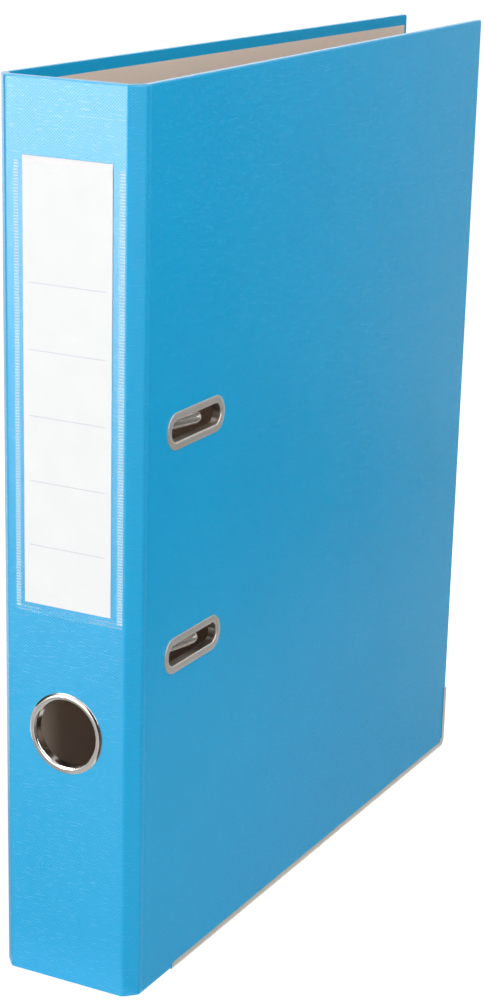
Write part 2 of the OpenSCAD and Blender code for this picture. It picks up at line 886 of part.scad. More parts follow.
module compressor_grips() {
  color(black_plastic) mech_frame() for (z = slots_z) difference() {
    union() {
      upright(post_u, z, bar_h, bar_h + bar_t, grip_r);
      upright(post_u, z, bar_h + bar_t, bar_h + bar_t + grip_t, grip_flange_r);
    }
    upright(post_u, z, bar_h - past, bar_h + bar_t + grip_t + past, wire_r + grip_gap);
  }
}

spine_board();
spine_film();
spine_lining();
finger_ring();
finger_ring_backing();
label_pocket();
label_card();
front_strip_board();
front_strip_film();
front_strip_lining();
rear_strip_board();
rear_strip_film();
rear_strip_lining();
front_board();
front_film();
front_lining();
slot_eyelet_upper();
slot_eyelet_lower();
slot_backing_upper();
slot_backing_lower();
front_edge_guard();
rear_board();
rear_film();
rear_lining();
rear_edge_guard();
base_plate();
mechanism_rivets();
post_upper();
post_lower();
lever_bracket();
lever_pin();
return_spring();
rocker_bridge();
rocker_shaft();
arch_upper();
arch_lower();
lever_arm();
roller_pin();
pressure_roller();
compressor_bar();
compressor_grips();
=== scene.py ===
"""A lever arch file: embossed film over boards, label pocket, finger ring, eyelets and arch mechanism."""
import json
import math

import bmesh
import bpy
import numpy as np
from bpy.props import FloatProperty, FloatVectorProperty, PointerProperty
from mathutils import Matrix, Vector
from mathutils.geometry import delaunay_2d_cdt


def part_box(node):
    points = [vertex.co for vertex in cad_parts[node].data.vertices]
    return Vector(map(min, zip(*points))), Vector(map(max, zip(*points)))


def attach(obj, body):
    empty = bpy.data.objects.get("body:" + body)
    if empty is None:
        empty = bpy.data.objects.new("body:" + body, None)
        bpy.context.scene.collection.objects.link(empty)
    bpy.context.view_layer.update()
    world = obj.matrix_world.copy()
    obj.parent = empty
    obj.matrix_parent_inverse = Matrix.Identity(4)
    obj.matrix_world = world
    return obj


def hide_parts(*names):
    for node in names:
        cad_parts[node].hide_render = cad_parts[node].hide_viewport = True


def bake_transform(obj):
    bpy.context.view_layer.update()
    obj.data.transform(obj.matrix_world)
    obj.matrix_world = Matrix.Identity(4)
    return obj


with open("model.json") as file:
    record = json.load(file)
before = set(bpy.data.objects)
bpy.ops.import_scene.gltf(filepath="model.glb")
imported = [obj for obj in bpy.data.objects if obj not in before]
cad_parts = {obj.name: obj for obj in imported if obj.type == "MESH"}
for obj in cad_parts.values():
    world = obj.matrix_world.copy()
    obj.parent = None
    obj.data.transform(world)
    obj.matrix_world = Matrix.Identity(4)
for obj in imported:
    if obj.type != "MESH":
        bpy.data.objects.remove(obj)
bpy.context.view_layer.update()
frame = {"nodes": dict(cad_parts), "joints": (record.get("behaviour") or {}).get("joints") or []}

bl_info = {
    "name": "Lever Arch File",
    "version": (1, 0, 0),
    "blender": (4, 5, 0),
    "location": "3D View > Sidebar > Lever Arch File",
    "description": "Dresses the frame of a lever arch file with its film, paper, label and plated metal",
    "category": "Add Mesh",
}

MM = 0.001


def joint(name):
    """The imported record's entry for one joint."""
    return next(j for j in frame["joints"] if j["name"] == name)


def hinge_line(name):
    """Where a fold's axis stands in plan, in mm."""
    return np.array(joint(name)["pos_m"][:2]) / MM


def node_box(name):
    """A CAD node's lowest and highest corner, in mm."""
    return np.array([corner[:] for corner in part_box(name)]) / MM


MIRROR = np.array([-1.0, 1.0])
FILM_FOOT, FILM_HEAD = node_box("front_film")[:, 2]
LINING_FOOT, LINING_HEAD = node_box("front_lining")[:, 2]
# Depths in mm from a board's outside face: the board with its film, the film's wrap, the paper across a fold
# and the collars of the metal lips.
BOARD_T = 2.5
SKIN_T = 2.42
PAPER_NEAR, PAPER_FAR = BOARD_T - 0.2, BOARD_T + 0.02
COLLAR_T = BOARD_T + 0.45
# About half the case's height in mm, where a fold's bend is measured.
MID_HEIGHT = 160.0
# Radii in mm of the inner edges: of the film's wrap and of the paper.
SKIN_EASE, PAPER_EASE = 0.3, 0.05
# The finger ring's bore and how far its flange laps the film, in mm.
RING_BORE, RING_LAP = 12.1, 1.9
# An eyelet's flange, and how far the film's hole stands back from its opening, in mm.
EYELET_FLANGE, EYELET_BACK = 2.75, 0.9
# The card's ruled lines: the height of the lowest, their spacing and half their thickness, in mm.
RULE_FIRST, RULE_PITCH, RULE_HALF = 162.3, 22.4, 0.17
# The two welded lines at the pocket's foot, in mm up, and half the gap between their inner ends.
FOOT_LINES, FOOT_GAP = (138.55, 139.75), 9.7
# The notch in the pocket's foot, in mm across: its middle, and lines on each side of its two edges.
NOTCH_MIDDLE, NOTCH_LINES = -0.1, (-9.9, -9.5, 9.3, 9.7)
# Where the camera stands, in metres, and its upward shift.
CAMERA_PLACE, CAMERA_SHIFT = (0.432208, -0.812399, 0.409586), 0.16
# An arch in mm along and above the rear cover: its leg, its two bends, its end, and its wire's radii.
ARCH_LEG = ((12.0, 8.0), (12.0, 16.0))
ARCH_WIDE, ARCH_WIDE_R = (32.0, 24.996), 20.0
ARCH_TIGHT, ARCH_TIGHT_R = (42.0, 43.007), 4.0
ARCH_END = ((46.0, 41.2), (46.0, 39.84), (46.0, 39.51))
ARCH_R, ARCH_TIP_R = 2.0, 1.7
WHITE, BLACK = (1.0, 1.0, 1.0, 1.0), (0.0, 0.0, 0.0, 1.0)
SPINE_FACE = node_box("spine_film")[0, 1]
SPINE_FOLD = hinge_line("front_strip_fold")
COVER_FOLD = hinge_line("front_cover_fold")
STRIP_W = float(np.linalg.norm(COVER_FOLD - SPINE_FOLD))
STRIP_ALONG = (COVER_FOLD - SPINE_FOLD) / STRIP_W
REAR_IN = np.array(joint("compressor_slide")["axis"][:2])
COVER_ALONG = np.array([REAR_IN[1], REAR_IN[0]])
COVER_L = (node_box("front_film")[1, 1] - COVER_FOLD[1]) / COVER_ALONG[1]


def turned_in(along):
    """The way in from a front board that runs along a direction: that direction a quarter turn on."""
    return np.array([-along[1], along[0]])


# Each board in plan: where it starts, the way it runs, the way in from its outside face, its place along the
# wrap, and the sign of that place.
PANELS = {
    "spine": (np.array([0.0, SPINE_FACE]), np.array([1.0, 0.0]), np.array([0.0, 1.0]), 0.0, 1.0),
    "front_strip": (SPINE_FOLD, STRIP_ALONG, turned_in(STRIP_ALONG), SPINE_FOLD[0], 1.0),
    "front_cover": (COVER_FOLD, COVER_ALONG, turned_in(COVER_ALONG), SPINE_FOLD[0] + STRIP_W, 1.0),
}
for board in ("strip", "cover"):
    *plan_ways, wrap_place, _ = PANELS["front_" + board]
    PANELS["rear_" + board] = (*(way * MIRROR for way in plan_ways), wrap_place, -1.0)


def on_panel(panel, u, z, t):
    """Points in metres that lie u mm along a board, z mm up and t mm in from its outside face."""
    start, along, inward = PANELS[panel][:3]
    u, z, t = np.broadcast_arrays(np.asarray(u, float), np.asarray(z, float), np.asarray(t, float))
    plan = start + u[..., None] * along + t[..., None] * inward
    return np.concatenate([plan, z[..., None]], -1) * MM


def wrap_uv(panel, u, z):
    """The cloth map: mm along the film as it lies round the case, and mm up."""
    first, side = PANELS[panel][3:]
    u, z = np.broadcast_arrays(np.asarray(u, float), np.asarray(z, float))
    return np.stack([side * (first + u), z], -1)


def quads(rows, columns, wrap_rows=False, wrap_columns=False):
    """Corner numbers of every quad of a grid, whose rows or columns may close into a ring."""
    row_count = rows if wrap_rows else rows - 1
    column_count = columns if wrap_columns else columns - 1
    r, c = np.meshgrid(np.arange(row_count), np.arange(column_count), indexing="ij")
    r2, c2 = (r + 1) % rows, (c + 1) % columns
    corners = [r * columns + c, r * columns + c2, r2 * columns + c2, r2 * columns + c]
    return np.stack(corners, -1).reshape(-1, 4)


def bar_blocks(points, cloth):
    """A closed bar from a grid of points whose columns go round it, with a flat face at each end."""
    rows, columns = points.shape[:2]
    ends = [list(range(columns)), list(range((rows - 1) * columns, rows * columns))]
    return [(points, quads(rows, columns, wrap_columns=True), cloth), (points, ends, cloth)]


def add_object(name, data):
    """A new object in the scene."""
    made = bpy.data.objects.new(name, data)
    bpy.context.scene.collection.objects.link(made)
    return made


def make_piece(name, blocks, finish, body=None, replaced=(), sharp=35.0):
    """One closed mesh from blocks of points, faces and cloth map, its edges shaded by angle."""
    counts = [len(points.reshape(-1, 3)) for points, _, _ in blocks]
    starts = np.cumsum([0] + counts[:-1])
    points = np.concatenate([block[0].reshape(-1, 3) for block in blocks])
    cloth = np.concatenate([block[2].reshape(-1, 2) for block in blocks])
    faces = [face for start, block in zip(starts, blocks) for face in (np.asarray(block[1]) + start).tolist()]
    mesh = bpy.data.meshes.new(name)
    mesh.from_pydata(points, [], faces)
    layer = mesh.uv_layers.new(name="cloth")
    corner = np.empty(len(mesh.loops), np.int32)
    mesh.loops.foreach_get("vertex_index", corner)
    layer.uv.foreach_set("vector", cloth[corner].astype(np.float32).ravel())
    shell = bmesh.new()
    shell.from_mesh(mesh)
    bmesh.ops.remove_doubles(shell, verts=shell.verts, dist=5e-7)
    bmesh.ops.recalc_face_normals(shell, faces=shell.faces)
    shell.to_mesh(mesh)
    shell.free()
    mesh.shade_smooth()
    mesh.set_sharp_from_angle(angle=math.radians(sharp))
    mesh.materials.append(finish)
    piece = add_object(name, mesh)
    piece.modifiers.new("Even shading", "WEIGHTED_NORMAL").keep_sharp = True
    if body:
        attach(piece, body)
    if replaced:
        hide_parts(*replaced)
    return piece


def arc(start, end, count):
    """The cosines and sines of count angles from start to end, in degrees, as rows of two."""
    angle = np.radians(np.linspace(start, end, count))
    return np.stack([np.cos(angle), np.sin(angle)], -1)


def board_outline(u0, u1, z0, z1, radii, free):
    """A board's outline with an arc at each rounded corner, and the way each point moves as the edge eases:
    in from a free edge, and only up or down where the board runs on into a fold."""
    corners = [(u0, z0, 180, free[0]), (u1, z0, 270, free[1]), (u1, z1, 0, free[1]), (u0, z1, 90, free[0])]
    line, ease = [], []
    for (u, z, first, loose), radius in zip(corners, radii):
        out = np.array([1.0 if u == u1 else -1.0, 1.0 if z == z1 else -1.0])
        if radius:
            turn = arc(first, first + 90, 9)
            line.append(np.array([u, z]) - out * radius + turn * radius)
            ease.append(-turn)
        else:
            line.append(np.array([[u, z]]))
            ease.append(-out[None] * [1.0 if loose else 0.0, 1.0])
    return np.concatenate(line), np.concatenate(ease)


def oblong(u, z, straight, radius, count=17):
    """An oblong hole's edge and its outward way: two half circles joined by straights of a given length."""
    right, left = arc(-90, 90, count), arc(90, 270, count)
    way = np.concatenate([right, left])
    shift = np.concatenate([np.full(count, straight / 2), np.full(count, -straight / 2)])
    return np.array([u, z]) + way * radius + np.stack([shift, 0 * shift], -1), way


def flat_face(rim, holes):
    """Triangles that fill a rim and leave its holes open: a constrained Delaunay fill of all the loops, less
    the triangles whose middle lies to the left of every side of a hole."""
    loops = [rim, *holes]
    sizes = [len(loop) for loop in loops]
    firsts = np.cumsum([0] + sizes[:-1])
    edges = [np.stack([np.arange(n), (np.arange(n) + 1) % n], -1) + first for n, first in zip(sizes, firsts)]
    found = delaunay_2d_cdt(np.concatenate(loops).tolist(), np.concatenate(edges).tolist(), [], 1, 1e-7)
    points, faces = np.array(found[0]), np.array(found[2])
    for hole in holes:
        side, away = np.roll(hole, -1, 0) - hole, points[faces].mean(1)[:, None] - hole
        faces = faces[~(side[:, 0] * away[..., 1] - side[:, 1] * away[..., 0] > 0).all(1)]
    return points, faces


def eased_edge(depth, outer, inner, steps=5):
    """An edge in section, from outside face to inside: a quarter circle, a straight and a quarter circle.
    Gives how far in from the outline, how deep, and the length gone along it."""
    turn = arc(0, 90, steps)
    inset = np.concatenate([outer * (1 - turn[:, 1]), inner * (1 - turn[:, 0])])
    deep = np.concatenate([outer * (1 - turn[:, 0]), depth - inner * (1 - turn[:, 1])])
    gone = np.concatenate([[0.0], np.cumsum(np.hypot(np.diff(inset), np.diff(deep)))])
    return inset, deep, gone


def patch(panel, points, deep, faces, spread=None):
    """A block on a board: points of its face at a depth, the faces, and the cloth map, which may differ."""
    cloth = points if spread is None else spread
    placed = on_panel(panel, points[..., 0], points[..., 1], deep)
    return placed, faces, wrap_uv(panel, cloth[..., 0], cloth[..., 1])


def board_blocks(panel, outline, ease, holes, depth, outer, inner):
    """A covered board: its outline round the eased edge, a flat face on each side, a wall in each hole."""
    inset, deep, gone = eased_edge(depth, outer, inner)
    rings = outline[None] + inset[:, None, None] * ease[None]
    spread = outline[None] + (outer - gone)[:, None, None] * ease[None]
    faces = quads(*rings.shape[:2], wrap_columns=True)
    blocks = [patch(panel, rings, deep[:, None], faces, spread)]
    for ring, level in ((rings[0], 0.0), (rings[-1], depth)):
        points, faces = flat_face(ring, holes)
        blocks.append(patch(panel, points, level, faces))
    for hole in holes:
        faces = quads(2, len(hole), wrap_columns=True)
        blocks.append(patch(panel, np.stack([hole, hole]), np.array([[0.0], [depth]]), faces))
    return blocks


def bar_section(foot, head, near, far, outer, inner):
    """A board's upright section as one closed loop of depth and height with four rounded corners, and the
    length gone along it."""
    near_top = np.array([near + outer, head - outer]) + arc(180, 90, 5) * outer
    far_top = np.array([far - inner, head - inner]) + arc(90, 0, 5) * inner
    far_foot = np.array([far - inner, foot + inner]) + arc(0, -90, 5) * inner
    near_foot = np.array([near + outer, foot + outer]) + arc(270, 180, 5) * outer
    loop = np.concatenate([near_foot[-1:], near_top, far_top, far_foot, near_foot[:-1]])
    step = np.hypot(*np.diff(loop, axis=0).T)
    return loop[:, 0], loop[:, 1], loop[0, 1] + np.concatenate([[0.0], np.cumsum(step)])


def fold_points(first, second, s, t, reach, radius):
    """The plan of a fold: at each depth t the path runs straight to the mitre and straight on. Within radius
    of it a quadratic curve whose handle is the mitre rounds the corner. s runs from -reach to reach."""
    _, along1, in1 = PANELS[first][:3]
    corner, along2, in2 = PANELS[second][:3]
    mitre_way = (in1 + in2) / (1 + in1 @ in2)
    side = 1.0 if corner[0] > 0 else -1.0
    along1 = along1 * (side if first == "spine" else 1.0)
    t = t[..., None]
    mitre = corner + mitre_way * t
    begin = corner - along1 * reach + in1 * t
    finish = corner + along2 * reach + in2 * t

    def straight(share):
        """The path without its rounding, at a share of the reach."""
        share = share[..., None]
        return np.where(share < 0, mitre + (mitre - begin) * share, mitre + (finish - mitre) * share)

    share = s / reach
    near = radius / reach
    turn = np.clip((share + near) / (2 * near), 0, 1)[..., None]
    low, high = straight(np.full_like(share, -near)), straight(np.full_like(share, near))
    round_off = (1 - turn) ** 2 * low + 2 * turn * (1 - turn) * mitre + turn ** 2 * high
    return np.where(np.abs(share)[..., None] < near, round_off, straight(share))


def fold_blocks(first, second, reach, radius, section):
    """A fold's bar: the upright section carried along the fold's path."""
    deep, up, gone = section
    s = np.concatenate([[-reach], np.linspace(-2 * radius, 2 * radius, 17), [reach]])
    grid_s, grid_t = np.meshgrid(s, deep, indexing="ij")
    plan = fold_points(first, second, grid_s, grid_t, reach, radius)
    points = np.concatenate([plan, np.broadcast_to(up, grid_s.shape)[..., None]], -1) * MM
    first_u, side = PANELS[second][3:]
    return bar_blocks(points, np.stack([side * (first_u + grid_s), np.broadcast_to(gone, grid_s.shape)], -1))


def strip_blocks(panel, u0, u1, section):
    """A hinge strip between its two folds: the upright section drawn straight from one end to the other."""
    deep, up, gone = section
    u = np.array([[u0], [u1]])
    return bar_blocks(on_panel(panel, u, up[None], deep[None]), wrap_uv(panel, u, gone[None]))


def fold_across(piece, first, second, half):
    """Works out the two ends of a fold's bend, half a width on each side of the fold's axis, and bakes the
    piece's place into its mesh; the piece itself is not bent.
    """
    corner, along2 = PANELS[second][:2]
    along1 = PANELS[first][1] * (1.0 if first != "spine" or corner[0] > 0 else -1.0)
    way = (along1 + along2) / np.linalg.norm(along1 + along2)
    ends = [tuple(np.append(corner + way * s, MID_HEIGHT) * MM) for s in (-half, half)]
    ends[0]
    ends[1]
    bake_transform(piece)


FOLDS = (
    ("spine", "front_strip"), ("front_strip", "front_cover"),
    ("spine", "rear_strip"), ("rear_strip", "rear_cover"))


def lip_blocks(panel, path, way, section):
    """A pressed metal lip: a closed section of outward offset and depth, carried round a path."""
    out, deep = np.asarray(section, float).T
    ring = path[:, None] + way[:, None] * out[None, :, None]
    return [patch(panel, ring, deep[None], quads(*ring.shape[:2], True, True))]


def smooth_section(corners, rounds):
    """A closed section with each corner swapped for a quadratic curve between points on its sides."""
    corners = np.asarray(corners, float)
    before, after = np.roll(corners, 1, 0), np.roll(corners, -1, 0)
    rounds = np.asarray(rounds, float)[:, None]
    low = corners + (before - corners) / np.linalg.norm(before - corners, axis=1, keepdims=True) * rounds
    high = corners + (after - corners) / np.linalg.norm(after - corners, axis=1, keepdims=True) * rounds
    s = np.linspace(0, 1, 6)[None, :, None]
    curve = (1 - s) ** 2 * low[:, None] + 2 * s * (1 - s) * corners[:, None] + s ** 2 * high[:, None]
    return curve.reshape(-1, 2)


def tube_blocks(panel, path, radius, z, sides=24):
    """A bent wire: circles of given radii carried along a path of place on the board and depth."""
    step = np.gradient(path, axis=0)
    step /= np.linalg.norm(step, axis=1, keepdims=True)
    normal = np.stack([-step[:, 1], step[:, 0]], -1)
    turn = arc(0, 360 * (sides - 1) / sides, sides)
    ring = path[:, None] + normal[:, None] * (turn[None, :, :1] * radius[:, None, None])
    up = z + radius[:, None] * turn[None, :, 1]
    gone = np.concatenate([[0.0], np.cumsum(np.hypot(*np.diff(path, axis=0).T))])
    cloth = np.stack(np.broadcast_arrays(gone[:, None], np.arange(sides)[None] * 1.0), -1)
    return bar_blocks(on_panel(panel, ring[..., 0], up, ring[..., 1]), cloth)


def sheet_blocks(panel, u, z, top, bottom):
    """A thin sheet over a board: an upper and a lower height field on one grid, joined round the rim. Heights
    are out from the board's face."""
    grid_u, grid_z = np.meshgrid(u, z, indexing="ij")
    cloth = wrap_uv(panel, grid_u, grid_z)
    rows, columns = grid_u.shape
    faces = quads(rows, columns)
    rim = np.concatenate([
        np.arange(columns), np.arange(2, rows) * columns - 1,
        np.arange(rows * columns - 1, (rows - 1) * columns - 1, -1), np.arange(rows - 2, 0, -1) * columns])
    both = np.stack([on_panel(panel, grid_u, grid_z, -top), on_panel(panel, grid_u, grid_z, -bottom)])
    walls = np.stack([rim, np.roll(rim, -1), np.roll(rim, -1) + rows * columns, rim + rows * columns], -1)
    faces = np.concatenate([faces, faces[:, ::-1] + rows * columns, walls])
    return [(both, faces, np.stack([cloth, cloth]))]


def math_method(operation, swapped=False):
    """A method that adds a Math node on its object and another value, or on them swapped."""
    def method(wire, *others):
        values = (*others, wire) if swapped else (wire, *others)
        return wire.finish.maths(operation, *values)
    return method


class Wire:
    """An output socket of a finish. Arithmetic on it adds Math nodes, and an index picks another output."""

    def __init__(self, finish, socket):
        self.finish, self.socket = finish, socket

    def __getitem__(self, name):
        return Wire(self.finish, self.socket.node.outputs[name])

    __add__ = __radd__ = math_method("ADD")
    __sub__ = math_method("SUBTRACT")
    __rsub__ = math_method("SUBTRACT", True)
    __mul__ = __rmul__ = math_method("MULTIPLY")
    __truediv__ = math_method("DIVIDE")
    __abs__ = math_method("ABSOLUTE")
    __gt__ = math_method("GREATER_THAN")
    __lt__ = math_method("LESS_THAN")


class Finish:
    """A material being made, or a world's nodes."""

    def __init__(self, name, tree=None):
        if tree is None:
            self.material = bpy.data.materials.new(name)
            self.material.use_nodes = True
            tree = self.material.node_tree
        self.tree = tree
        self.tree.nodes.clear()

    def node(self, kind, settings=None, values=None):
        """Any node: its settings go in first, then its socket values or wires. Gives its first output."""
        made = self.tree.nodes.new(kind)
        for key, value in (settings or {}).items():
            setattr(made, key, value)
        for key, value in (values or {}).items():
            if isinstance(value, Wire):
                self.tree.links.new(value.socket, made.inputs[key])
            else:
                made.inputs[key].default_value = value
        return Wire(self, made.outputs[0]) if len(made.outputs) else None

    def place(self, scale=(1.0, 1.0, 1.0)):
        """Object coordinates in mm, stretched by a scale."""
        return self.stretch(self.node("ShaderNodeTexCoord")["Object"], tuple(part / MM for part in scale))

    def axes(self, point):
        """The three parts of a vector."""
        split = self.node("ShaderNodeSeparateXYZ", None, {0: point})
        return split["X"], split["Y"], split["Z"]

    def maths(self, operation, *values):
        """A Math node on any mix of numbers and wires."""
        return self.node("ShaderNodeMath", {"operation": operation}, dict(enumerate(values)))

    def stretch(self, point, scale):
        """A vector scaled on each of its axes."""
        return self.node("ShaderNodeVectorMath", {"operation": "MULTIPLY"}, {0: point, 1: scale})

    def step(self, value, start, end):
        """A smooth step from 0 at start to 1 at end."""
        return self.node(
            "ShaderNodeMapRange", {"interpolation_type": "SMOOTHSTEP"},
            {"Value": value, "From Min": start, "From Max": end})

    def noise(self, point, scale, detail=2.0, rough=0.5):
        """Smooth noise about one half, with a feature size of one over its scale."""
        values = {"Vector": point, "Scale": scale, "Detail": detail, "Roughness": rough}
        return self.node("ShaderNodeTexNoise", None, values)

    def blend(self, factor, low, high):
        """A colour between two, by a factor."""
        mix = self.node("ShaderNodeMix", {"data_type": "RGBA"}, {0: factor, 6: low, 7: high})
        return Wire(self, mix.socket.node.outputs[2])

    def bump(self, height, distance, strength=1.0):
        """A normal from a height of 0 to 1 that stands for a distance in metres."""
        values = {"Height": height, "Distance": distance, "Strength": strength}
        return self.node("ShaderNodeBump", None, values)

    def surface(self, **sockets):
        """A Principled shader, its sockets named with underscores for spaces."""
        values = {name.replace("_", " "): value for name, value in sockets.items()}
        return self.node("ShaderNodeBsdfPrincipled", None, values)

    def done(self, shader):
        """Links the shader to the output, and gives the material."""
        self.node("ShaderNodeOutputMaterial", None, {"Surface": shader})
        return self.material


def tone(colour, share=1.0):
    """A colour property as the four numbers of a socket, scaled."""
    return (*(min(1.0, part * share) for part in colour), 1.0)


def film_finish(name, sizes, colours, rough, gloss, crowns):
    """Film embossed like woven cloth: two sets of ridges cross on the diagonals, a thick thread shows as a
    short bright dash, and a coat polishes the crowns. The tone drifts slowly over the case."""
    f = Finish(name)
    cloth = f.node("ShaderNodeUVMap", {"uv_map": "cloth"})
    u, v, _ = f.axes(cloth)
    across = u * (2 * math.pi * MM / sizes.warp_pitch)
    up = v * (2 * math.pi * MM / sizes.weft_pitch)
    wander = f.noise(cloth, 0.45, 2.0) * 7.0
    falling, rising = f.maths("COSINE", across - up + wander), f.maths("COSINE", across + up + wander)
    ridges = falling * 0.56 + rising * 0.44
    weave = ridges * (f.noise(cloth, 0.3, 1.0) * 2.2 - 0.1)
    thread = f.noise(f.stretch(cloth, (0.22, 1.7, 1.0)), 1.0, 1.0)
    dash = f.step(thread, 0.6, 0.7)
    clouds = f.noise(cloth, 0.02, 3.0)
    colour = f.blend(
        clouds * 0.4 + weave * 0.2 + dash * 0.14 + 0.28, tone(colours.film, 0.9), tone(colours.film, 1.1))
    polish = f.step(weave + dash * 1.2, -0.2, 0.8)
    return f.done(f.surface(
        Base_Color=colour, Roughness=rough + clouds * 0.02 - weave * 0.02 - dash * 0.03,
        Specular_IOR_Level=gloss, Coat_Weight=polish * crowns, Coat_Roughness=rough,
        Normal=f.bump(weave * 0.2 + dash * 0.4, 0.00005)))


def paper_finish(name, colour, fibre=1.0):
    """Paper or board: a warm grey mottled by fibres, dull, with a faint tooth."""
    f = Finish(name)
    point = f.place()
    fibres = f.noise(f.place((0.25, 0.25, 1.4)), 1.2, 4.0, 0.65)
    flecks = f.noise(point, 2.5 * fibre, 3.0, 0.7)
    clouds = f.noise(point, 0.03, 2.0)
    colour = f.blend(
        fibres * 0.5 + flecks * 0.4 + clouds * 0.3 - 0.1, tone(colour, 0.88), tone(colour, 1.08))
    return f.done(f.surface(
        Base_Color=colour, Roughness=0.78 + flecks * 0.2, Specular_IOR_Level=0.25,
        Normal=f.bump(fibres * 0.5 + flecks * 0.5, 0.00006)))


def card_finish(name, colours):
    """White label card ruled with thin grey lines across its width at an even pitch."""
    f = Finish(name)
    point = f.place()
    x, _, z = f.axes(point)
    low, high = node_box("label_card")
    left, right = low[0] + 2.1, high[0] - 2.35
    from_line = abs(f.maths("FRACT", (z - RULE_FIRST) / RULE_PITCH + 0.5) - 0.5) * RULE_PITCH
    lines = (from_line < RULE_HALF) * (z > RULE_FIRST - 5) * (z < RULE_FIRST + 4.5 * RULE_PITCH)
    ruled = lines * (x > left) * (x < right)
    fibres = f.noise(point, 1.6, 4.0, 0.65)
    paper = f.blend(fibres, tone(colours.card, 0.97), tone(colours.card, 1.02))
    colour = f.blend(ruled * 0.55, paper, (0.42, 0.47, 0.54, 1.0))
    return f.done(f.surface(
        Base_Color=colour, Roughness=0.5 + fibres * 0.2, Specular_IOR_Level=0.3,
        Normal=f.bump(fibres, 0.00002)))


def metal_finish(name, colour, rough, grain, streak, metal=1.0):
    """Plated metal: polish that varies in clouds, with fine drawing marks along one axis."""
    f = Finish(name)
    point = f.place()
    marks = f.noise(f.place(streak), grain, 3.0, 0.6)
    clouds = f.noise(point, 0.12, 3.0)
    shade = f.blend(clouds * 0.6 + marks * 0.4, tone(colour, 0.86), tone(colour, 1.06))
    return f.done(f.surface(
        Base_Color=shade, Metallic=metal, Roughness=rough * 0.7 + clouds * rough * 0.4 + marks * rough * 0.3,
        Normal=f.bump(marks, 0.000012, 0.5)))


def eyelet_finish(name, colours):
    """Plated eyelet of the front cover: a matt flange, and below the film's face a collar whose darker colour
    is painted shade inside the opening.
    """
    f = Finish(name)
    point = f.place()
    x, y, _ = f.axes(point)
    out = np.array([COVER_ALONG[1], -COVER_ALONG[0]])
    flange = f.step(x * out[0] + y * out[1] - float(COVER_FOLD @ out), -0.35, 0.3)
    marks = f.noise(f.place((1.0, 0.2, 1.0)), 1.0, 3.0, 0.6)
    clouds = f.noise(point, 0.12, 3.0)
    # The collar's tone, 0.46 of the satin colour against 0.84 on the flange, is painted shade inside the
    # opening.
    shade = f.blend(
        flange * 0.75 + clouds * 0.15 + marks * 0.1, tone(colours.satin, 0.46), tone(colours.satin, 0.84))
    return f.done(f.surface(
        Base_Color=shade, Metallic=0.97 - flange * 0.31,
        Roughness=0.24 + flange * 0.08 + clouds * 0.08 + marks * 0.04, Normal=f.bump(marks, 0.000012, 0.5)))


def plastic_finish(name, colour):
    """Moulded plastic with a fine spark texture."""
    f = Finish(name)
    point = f.place()
    spark = f.noise(point, 4.0, 2.0, 0.6)
    clouds = f.noise(point, 0.2, 2.0)
    return f.done(f.surface(
        Base_Color=f.blend(clouds, tone(colour, 0.85), tone(colour, 1.15)), Roughness=0.38 + spark * 0.25,
        Specular_IOR_Level=0.45, Normal=f.bump(spark, 0.00004)))


def clear_finish(name, sizes):
    """Clear pocket film: almost all see-through, glossy, and milky along its ladder-ribbed welds."""
    f = Finish(name)
    x, _, z = f.axes(f.place())
    low, high = node_box("label_pocket")
    left, right = f.step(x, low[0] + 2.2, low[0] + 1.5), f.step(x, high[0] - 2.6, high[0] - 1.7)
    weld = f.maths("MAXIMUM", left, right) * (z > 139.4)
    rungs = f.maths("COSINE", z * (2 * math.pi * MM / sizes.weld_pitch))
    dots = f.maths("COSINE", x * (2 * math.pi * MM / sizes.weld_pitch)) > -0.3
    lines = (abs(z - FOOT_LINES[0]) < 0.2) + (abs(z - FOOT_LINES[1]) < 0.2)
    foot = (z < 140.3) * lines * (abs(x - NOTCH_MIDDLE) > FOOT_GAP) * dots
    haze = f.noise(f.place(), 0.15, 2.0)
    cover = 0.015 + haze * 0.03 + weld * (0.25 + rungs * 0.19) + foot * 0.25
    gloss = f.surface(
        Base_Color=f.blend(haze, (0.68, 0.95, 1.0, 1.0), (0.76, 0.99, 1.0, 1.0)),
        Roughness=0.16 + haze * 0.1 + weld * 0.3, Specular_IOR_Level=0.2)
    clear = f.node("ShaderNodeBsdfTransparent")
    return f.done(f.node("ShaderNodeMixShader", None, {0: cover, 1: clear, 2: gloss}))


def finish_node(name, finish, ease=0.0):
    """Gives a CAD node its finish; where ease is set, its corners are merged and rounded by that many mm."""
    node = frame["nodes"][name]
    node.data.materials.clear()
    node.data.materials.append(finish)
    if ease:
        node.modifiers.new("Merge", "WELD").merge_threshold = 1e-6
        bevel = node.modifiers.new("Ease", "BEVEL")
        bevel.width, bevel.segments, bevel.limit_method = ease * MM, 3, "ANGLE"
        bevel.angle_limit, bevel.use_clamp_overlap = math.radians(38), True
        node.modifiers.new("Even shading", "WEIGHTED_NORMAL").keep_sharp = True


